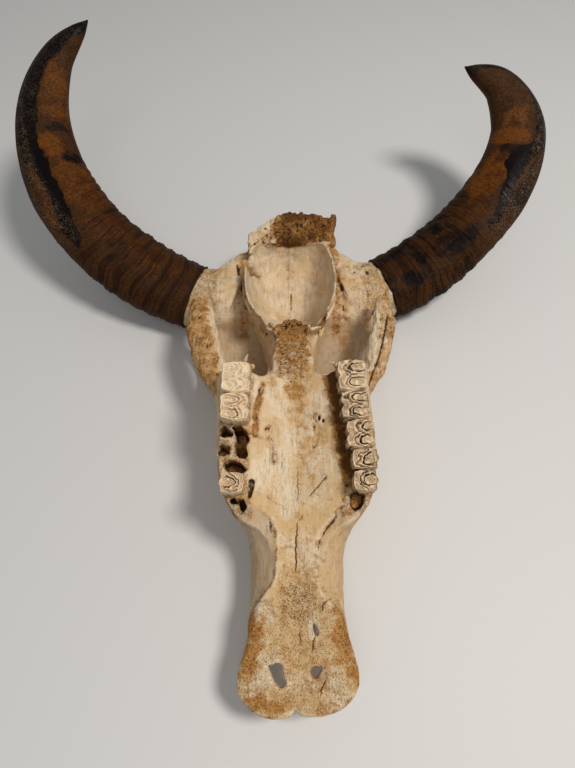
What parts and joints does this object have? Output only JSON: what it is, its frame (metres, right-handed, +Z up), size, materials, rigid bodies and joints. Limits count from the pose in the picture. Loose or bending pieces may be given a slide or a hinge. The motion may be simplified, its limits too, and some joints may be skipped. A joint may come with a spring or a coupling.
{
  "type": "water buffalo skull",
  "caption": "Water buffalo skull with swept-back ringed horns, its base sawn away to open the braincase, lying palate up as a museum piece.",
  "frame": {"origin": "on the floor, at the middle of the part's footprint box", "axes": "+Z up, away from the floor; +Y from the nose tip back to the horn tips; +X to the animal's right side"},
  "size_m": [0.6282, 0.6966, 0.2224],
  "materials": {
    "bone": "dry weathered bone, matte, cream with brown stains",
    "horn": "ridged dark brown horn, glossier and blacker towards the tip"
  },
  "bodies": {
    "root": {"braincase": "bone", "sphenoid": "bone", "occipital": "bone", "nasal_left": "bone", "nasal_right": "bone", "zygomatic_left": "bone", "lacrimal_left": "bone", "zygomatic_right": "bone", "lacrimal_right": "bone", "frontal": "bone", "palatine_left": "bone", "premaxilla_left": "bone", "maxilla_left": "bone", "palatine_right": "bone", "premaxilla_right": "bone", "maxilla_right": "bone", "horn_left": "horn", "horn_right": "horn"}
  },
  "joints": []
}
